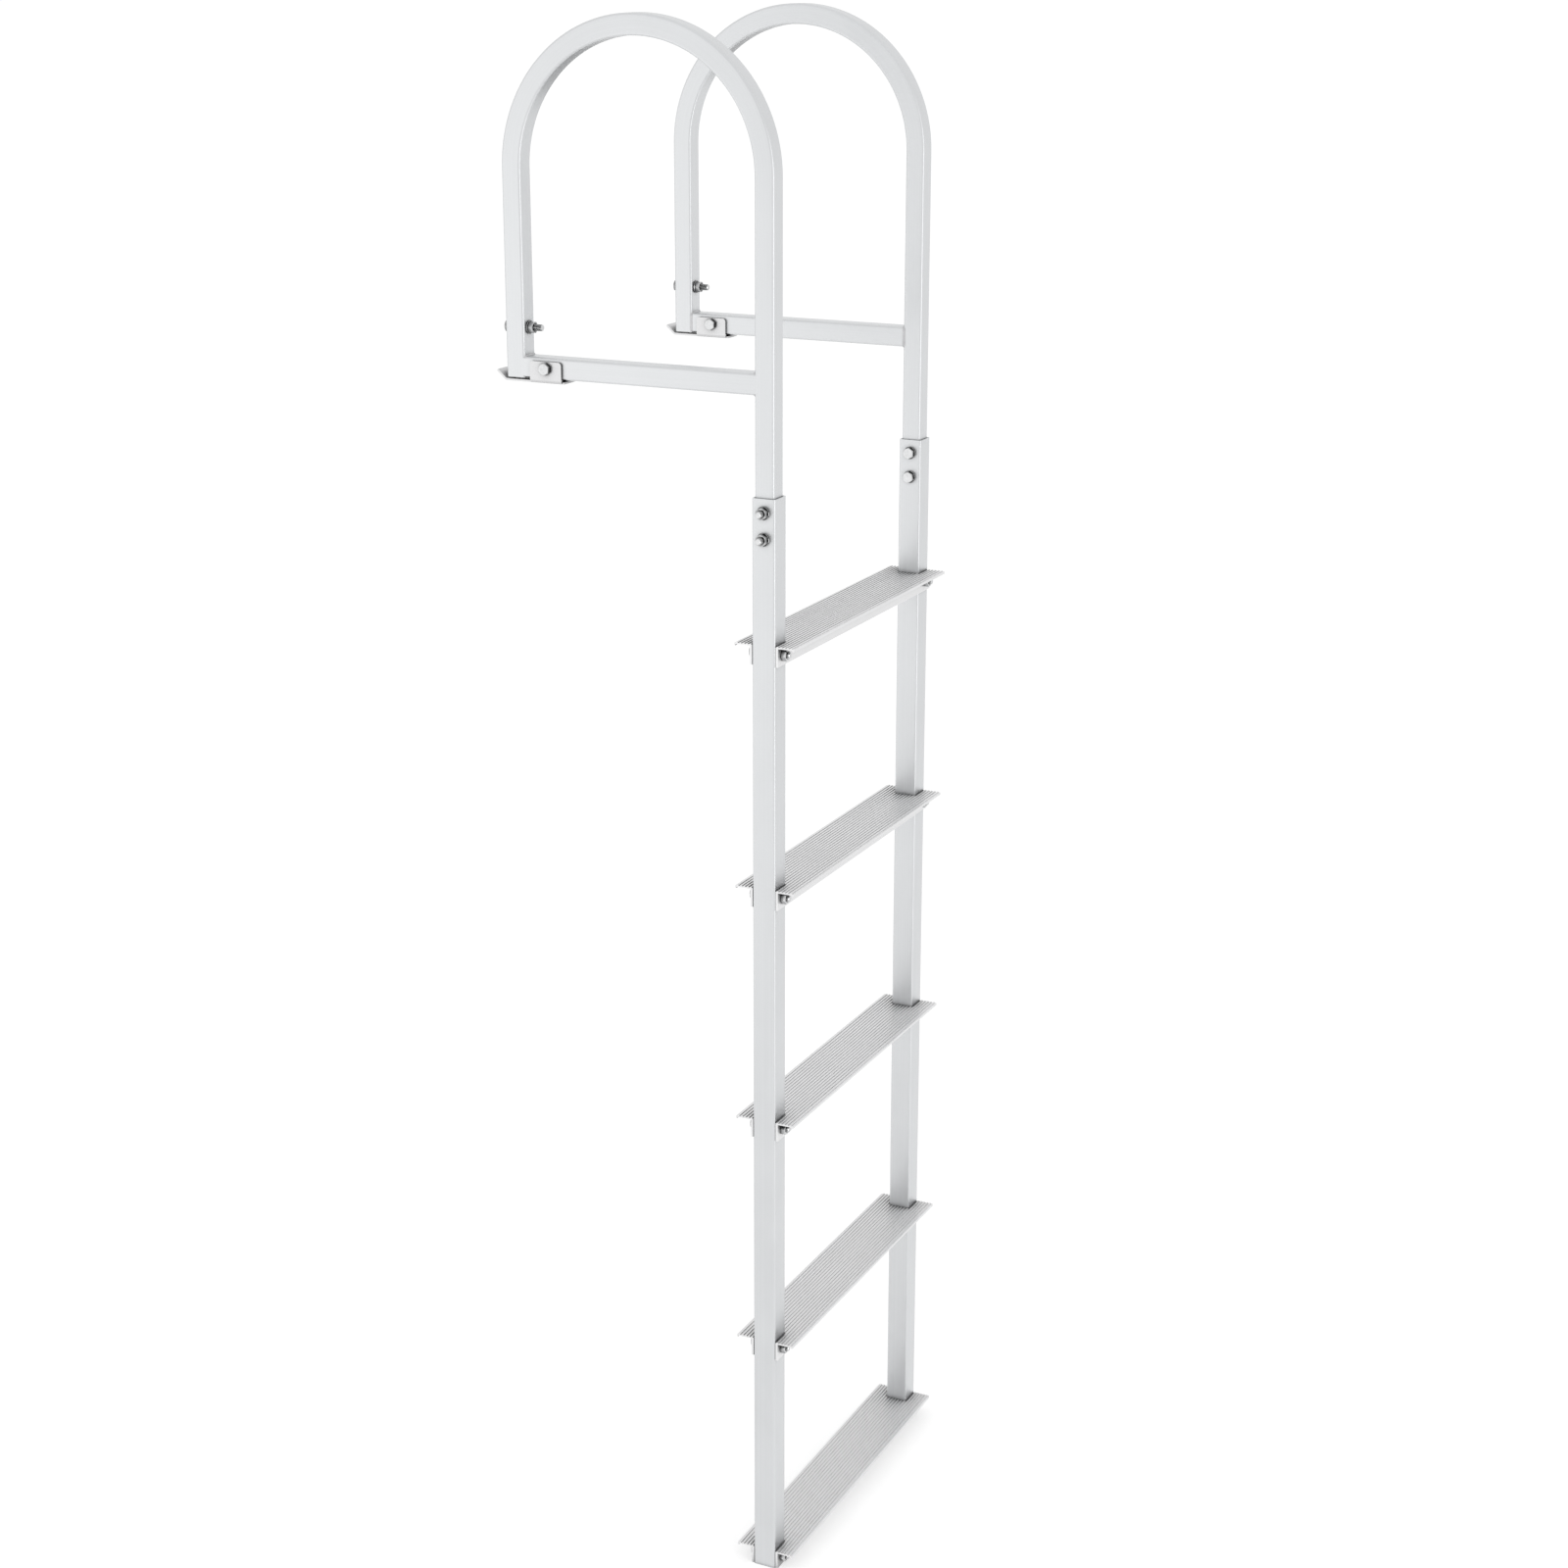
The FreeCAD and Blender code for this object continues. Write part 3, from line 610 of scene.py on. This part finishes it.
def tread(number):
    """One ribbed extrusion, its plate notched round both rails."""
    node = f"tread_{number}"
    low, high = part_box(node)
    left_rail, right_rail = [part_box(f"{side}_lower_rail") for side in SIDES]
    cuts = [low.x, left_rail[1].x + WEB_GAP, right_rail[0].x - WEB_GAP, high.x]
    inner = (left_rail[1].y - left_rail[0].y) / 2 + WEB_GAP
    wing, mirrored, deck = tread_outlines(low, high, inner)

    bm = bmesh.new()
    run = bm.verts.layers.float_vector.new("run")
    shift = rng.uniform(0, RUN_START)

    def row(points, x):
        made = [bm.verts.new((x, point.x, point.y)) for point in points]
        for vertex in made:
            vertex[run] = Vector((vertex.co.y, vertex.co.z, x + shift))
        return made

    wings = []
    for points in (wing, mirrored):
        rows = [row(points, x) for x in cuts]
        wings.append(rows)
        for lower, upper in zip(rows, rows[1:]):
            skin(bm, lower, upper, closed=False)
        for lower, upper in (rows[0:2], rows[2:4]):
            bm.faces.new((lower[-1], lower[0], upper[0], upper[-1]))
        bm.faces.new(rows[0])
        bm.faces.new(rows[3])
    decks = [row(deck, x) for x in cuts[1:3]]
    spans = []
    for at, deck_row in zip((1, 2), decks):
        dock_row, water_row = wings[0][at], wings[1][at]
        spans.append([water_row[-1], water_row[0], *deck_row, dock_row[0], dock_row[-1]])
    skin(bm, spans[0][1:-1], spans[1][1:-1], closed=False)
    bm.faces.new((spans[0][0], spans[0][-1], spans[1][-1], spans[1][0]))
    for span in spans:
        bm.faces.new(span)
    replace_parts(make_piece(f"{node}_extrusion", bm, tread_metal), node)


# Fasteners

def hex_radius(angle):
    """Distance from a hexagon's middle to its side at an angle, its corners eased."""
    sixth = math.radians(60)
    off = angle % sixth - sixth / 2
    return min(HEX_FLATS / 2 / math.cos(off), HEX_EDGE * HEX_FLATS / math.sqrt(3))


def round_ring(radius, height):
    """A ring with the same radius all round."""
    return lambda angle: (radius, height)


def hex_ring(height, chamfer):
    """A hexagonal ring; chamfer is 1 at a top edge, -1 at a bottom edge and 0 at a plain one."""
    return lambda angle: (hex_radius(angle), height - chamfer * (hex_radius(angle) - HEX_FACE) * HEX_SLOPE)


def thread_ring(height, tip, start):
    """One ring of a rolled thread that runs out at start and is chamfered at the tip."""
    fade = min(1.0, (start - height) / THREAD_PITCH)
    limit = SHANK_RADIUS - THREAD_CHAMFER + (height - tip)

    def ring(angle):
        wave = 0.5 - 0.5 * math.cos(math.tau * height / THREAD_PITCH - angle)
        return min(SHANK_RADIUS - THREAD_DEPTH * fade * wave, limit), height

    return ring


def lathe(bm, rings, place, capped):
    """A turned shape in place; its rings give (radius, height) by angle."""
    loops = []
    for ring in rings:
        loop = []
        for step in range(TURN_STEPS):
            angle = math.tau * step / TURN_STEPS
            radius, height = ring(angle)
            spot = Vector((radius * math.cos(angle), radius * math.sin(angle), height))
            loop.append(bm.verts.new(place @ spot))
        loops.append(loop)
    for lower, upper in zip(loops, loops[1:]):
        skin(bm, lower, upper)
    if capped:
        bm.faces.new(loops[0])
        bm.faces.new(loops[-1])
    else:
        skin(bm, loops[-1], loops[0])


def bolt(bm, place, shank):
    """A hex bolt: bearing face at place's origin, head on +Z, threaded shank along -Z."""
    tip = -shank
    start = min(tip + THREAD_LENGTH, -BEARING)
    rings = [round_ring(HEAD_RING, HEAD_HEIGHT), round_ring(HEX_FACE, HEAD_HEIGHT)]
    rings += [hex_ring(HEAD_HEIGHT, 1), hex_ring(BEARING, 0)]
    rings += [round_ring(HEX_FACE, BEARING), round_ring(HEX_FACE, 0), round_ring(SHANK_RADIUS, 0)]
    rings.append(round_ring(SHANK_RADIUS, start))
    count = int((start - tip) / THREAD_PITCH * RINGS_A_PITCH)
    for step in range(1, count + 1):
        rings.append(thread_ring(start + (tip - start) * step / count, tip, start))
    lathe(bm, rings, place, True)


def nut(bm, place, height):
    """A hex nut from place's origin along +Z, chamfered on both faces and sunk at its thread."""
    rings = [round_ring(HEX_FACE, height), hex_ring(height, 1), hex_ring(0, -1), round_ring(HEX_FACE, 0)]
    rings += [round_ring(NUT_BORE + NUT_SINK, 0), round_ring(NUT_BORE, NUT_SINK)]
    rings += [round_ring(NUT_BORE, height - NUT_SINK), round_ring(NUT_BORE + NUT_SINK, height)]
    lathe(bm, rings, place, False)


def washer(bm, place, thick):
    """A flat round washer from place's origin along +Z, its outer edges eased."""
    rim = WASHER_RADIUS
    rings = [round_ring(SHANK_RADIUS, 0), round_ring(rim - WASHER_EDGE, 0), round_ring(rim, WASHER_EDGE)]
    rings += [round_ring(rim, thick - WASHER_EDGE), round_ring(rim - WASHER_EDGE, thick)]
    rings.append(round_ring(SHANK_RADIUS, thick))
    lathe(bm, rings, place, False)


def seated(point, facing):
    """A place whose +Z is facing, turned about it as a spanner left it."""
    side = AXIS_Z if abs(facing.x) > 0.5 else AXIS_X
    axes = Matrix((side, facing.cross(side), facing)).transposed().to_4x4()
    turn = math.radians(rng.uniform(-SPANNER_TURN, SPANNER_TURN))
    return Matrix.Translation(point) @ axes @ Matrix.Rotation(turn, 4, "Z")


def dress(node, piece_name, centres, facing, build):
    """One piece for a CAD node of fasteners; build makes each from its two ends along facing."""
    low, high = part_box(node)
    reach = sorted((facing.dot(low), facing.dot(high)))
    bm = bmesh.new()
    for centre in centres:
        foot = centre - facing * facing.dot(centre)
        build(bm, foot, reach)
    metal = sheltered_metal if node.startswith("tread") else bolt_metal
    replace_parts(make_piece(piece_name, bm, metal, FASTENER_SHARP), node)


def dress_bolts(node, centres, facing):
    """Bolts whose heads face that way."""
    def build(bm, foot, reach):
        seat = reach[1] - HEAD_HEIGHT
        bolt(bm, seated(foot + facing * seat, facing), seat - reach[0])

    dress(node, f"{node}_threaded", centres, facing, build)


def dress_nuts(node, centres, facing):
    """Nuts whose outer faces face that way."""
    def build(bm, foot, reach):
        nut(bm, seated(foot + facing * reach[0], facing), reach[1] - reach[0])

    dress(node, f"{node}_chamfered", centres, facing, build)


def dress_washers(node, centres, facing):
    """Washers at the outermost ends of their node's box: one, or a pair."""
    def build(bm, foot, reach):
        places = {round(reach[0], 6), round(reach[1] - WASHER_THICK, 6)}
        for start in sorted(places):
            washer(bm, seated(foot + facing * start, facing), WASHER_THICK)

    dress(node, f"{node}_eased", centres, facing, build)


def all_fasteners():
    """Every bolt, nut and washer of the ladder."""
    rails = [middle(f"{side}_lower_rail") for side in SIDES]
    for number in range(1, TREADS + 1):
        height = middle(f"tread_{number}_bolts").z
        centres = [Vector((rail.x, 0, height)) for rail in rails]
        dress_bolts(f"tread_{number}_bolts", centres, AXIS_Y)
        dress_nuts(f"tread_{number}_nuts", centres, -AXIS_Y)
    for side, outward in zip(SIDES, (-AXIS_X, AXIS_X)):
        low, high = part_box(f"{side}_splice_washers")
        row = (low.y + high.y) / 2
        centres = [Vector((0, row, height)) for height in (low.z + WASHER_RADIUS, high.z - WASHER_RADIUS)]
        dress_bolts(f"{side}_splice_bolts", centres, -outward)
        dress_nuts(f"{side}_splice_nuts", centres, outward)
        dress_washers(f"{side}_splice_washers", centres, outward)
        leg = [middle(f"{side}_leg_nut")]
        dress_bolts(f"{side}_leg_bolt", leg, AXIS_Y)
        dress_nuts(f"{side}_leg_nut", leg, -AXIS_Y)
        dress_washers(f"{side}_leg_washer", leg, -AXIS_Y)
        ear = [middle(f"{side}_bracket_nut")]
        dress_bolts(f"{side}_bracket_bolt", ear, -AXIS_X)
        dress_nuts(f"{side}_bracket_nut", ear, AXIS_X)


# Dock brackets

def dress_bracket(side):
    """The folded sheet bracket stays a CAD node, with its cut edges broken."""
    node = frame["nodes"][f"{side}_dock_bracket"]
    join = node.modifiers.new("join_faces", "WELD")
    join.merge_threshold = BRACKET_JOIN
    broken = node.modifiers.new("broken_edges", "BEVEL")
    broken.width = BRACKET_EDGE
    broken.segments = 2
    broken.limit_method = "ANGLE"
    broken.angle_limit = math.radians(BRACKET_CORNER)
    even = node.modifiers.new("even_normals", "WEIGHTED_NORMAL")
    even.keep_sharp = False
    for slot in node.material_slots:
        slot.link = "OBJECT"
        slot.material = sheet_metal


for side in SIDES:
    handrail_hoop(side)
    straight_tube(f"{side}_crossbar_tube", f"{side}_crossbar", AXIS_Y, AXIS_Z, HOOP_CORNER)
    straight_tube(f"{side}_rail_tube", f"{side}_lower_rail", AXIS_Z, AXIS_Y, RAIL_CORNER)
    weld_ring(side, "water")
    weld_ring(side, "dock")
    dress_bracket(side)
for number in range(1, TREADS + 1):
    tread(number)
all_fasteners()


# Studio

FLOOR_SIZE = 300.0
FLOOR_TONE = 0.80
FLOOR_GLOW = 0.56
AIR_FILL = 0.60
CARD_TONE = 0.02
CARD_ROUGHNESS = 0.9


def light_path_share(tree):
    """1 for rays that show the background itself, 0 for the ones that only carry light."""
    path = add(tree, "ShaderNodeLightPath")
    share = arithmetic(tree, "MAXIMUM", path.outputs["Is Camera Ray"], path.outputs["Is Glossy Ray"])
    return arithmetic(tree, "MAXIMUM", share, path.outputs["Is Transmission Ray"])


def studio_air():
    """White air all round, softer where it only lights the ladder."""
    world = bpy.data.worlds.new("studio_air")
    bpy.context.scene.world = world
    world.use_nodes = True
    tree = world.node_tree
    background = tree.nodes["Background"]
    background.inputs["Color"].default_value = WHITE
    strength = ranged(tree, light_path_share(tree), AIR_FILL, 1.0, 0.0, 1.0)
    tree.links.new(strength, background.inputs["Strength"])


def flat_sheet(name, width, height):
    """A flat rectangle about its own middle, facing +Z."""
    across, up = width / 2, height / 2
    mesh = bpy.data.meshes.new(name)
    mesh.from_pydata([(-across, -up, 0), (across, -up, 0), (across, up, 0), (-across, up, 0)],
                     [], [(0, 1, 2, 3)])
    sheet = bpy.data.objects.new(name, mesh)
    bpy.context.scene.collection.objects.link(sheet)
    return sheet


def studio_floor():
    """A pale floor under the rails' feet; it glows towards the camera but keeps the shadow."""
    floor = flat_sheet("floor", FLOOR_SIZE, FLOOR_SIZE)
    floor.location = (0, 0, cad_box[0].z)
    material, tree, shader = start_material("pale_floor")
    tree.nodes.remove(shader)
    paint = add(tree, "ShaderNodeBsdfDiffuse", {"Color": (FLOOR_TONE, FLOOR_TONE, FLOOR_TONE, 1.0)})
    glow = arithmetic(tree, "MULTIPLY", light_path_share(tree), FLOOR_GLOW)
    shine = add(tree, "ShaderNodeEmission", {"Color": WHITE, "Strength": glow})
    both = add(tree, "ShaderNodeAddShader", {0: paint.outputs[0], 1: shine.outputs[0]})
    tree.links.new(both.outputs[0], tree.nodes["Material Output"].inputs["Surface"])
    floor.data.materials.append(material)


def aimed(direction):
    """The turn that points +Z in a direction."""
    return Vector(direction).to_track_quat("Z", "Y").to_euler()


def softbox(name, heading, distance, width, height, power):
    """A soft area lamp in a direction from the ladder's middle, turned towards it."""
    lamp = bpy.data.lights.new(name, "AREA")
    lamp.shape = "RECTANGLE"
    lamp.size = width
    lamp.size_y = height
    lamp.energy = power
    holder = bpy.data.objects.new(name, lamp)
    holder.location = (cad_box[0] + cad_box[1]) / 2 + Vector(heading).normalized() * distance
    holder.rotation_euler = aimed(heading)
    holder.visible_camera = False
    bpy.context.scene.collection.objects.link(holder)


def dark_card(name, centre, direction, width, height):
    """A dark card that only shows in the metal, so that bright parts have something dark to mirror."""
    card = flat_sheet(name, width, height)
    card.location = centre
    card.rotation_euler = aimed(direction)
    card.visible_camera = False
    card.visible_diffuse = False
    card.visible_shadow = False
    material, tree, shader = start_material(name)
    shader.inputs["Base Color"].default_value = (CARD_TONE, CARD_TONE, CARD_TONE, 1.0)
    shader.inputs["Roughness"].default_value = CARD_ROUGHNESS
    card.data.materials.append(material)


# The camera's place and aim were worked out from the photograph's straight lines and known lengths.
CAMERA_PLACE = (-2.8266, -1.6634, 0.5148)
CAMERA_YAW = math.radians(64.308)
CAMERA_PITCH = math.radians(-17.178)
CAMERA_ROLL = math.radians(0.064)
CAMERA_LENS = 63.825
CAMERA_SENSOR = 36.0
CAMERA_NEAREST = 0.05
CAMERA_FARTHEST = 200.0


def studio_camera():
    """The photograph's view."""
    data = bpy.data.cameras.new("camera")
    data.lens = CAMERA_LENS
    data.sensor_width = CAMERA_SENSOR
    data.clip_start = CAMERA_NEAREST
    data.clip_end = CAMERA_FARTHEST
    holder = bpy.data.objects.new("camera", data)
    turn = Matrix.Rotation(-CAMERA_YAW, 4, "Z") @ Matrix.Rotation(math.pi / 2 + CAMERA_PITCH, 4, "X")
    holder.matrix_world = Matrix.Translation(CAMERA_PLACE) @ turn @ Matrix.Rotation(CAMERA_ROLL, 4, "Z")
    bpy.context.scene.collection.objects.link(holder)
    bpy.context.scene.camera = holder


studio_air()
studio_floor()
softbox("key_softbox", (-0.80, 0.62, -0.10), distance=2.8, width=2.0, height=1.4, power=2.7)
softbox("high_softbox", (-0.75, 0.60, 0.30), distance=2.8, width=2.0, height=1.2, power=1.6)
softbox("front_strip", (-0.42, -0.86, 0.05), distance=2.6, width=0.4, height=2.2, power=8.0)
dark_card("low_card", (2.30, 0.35, -1.00), (-1.0, -0.15, 0.4), width=1.4, height=0.7)
studio_camera()
bpy.context.scene.view_settings.view_transform = "Standard"
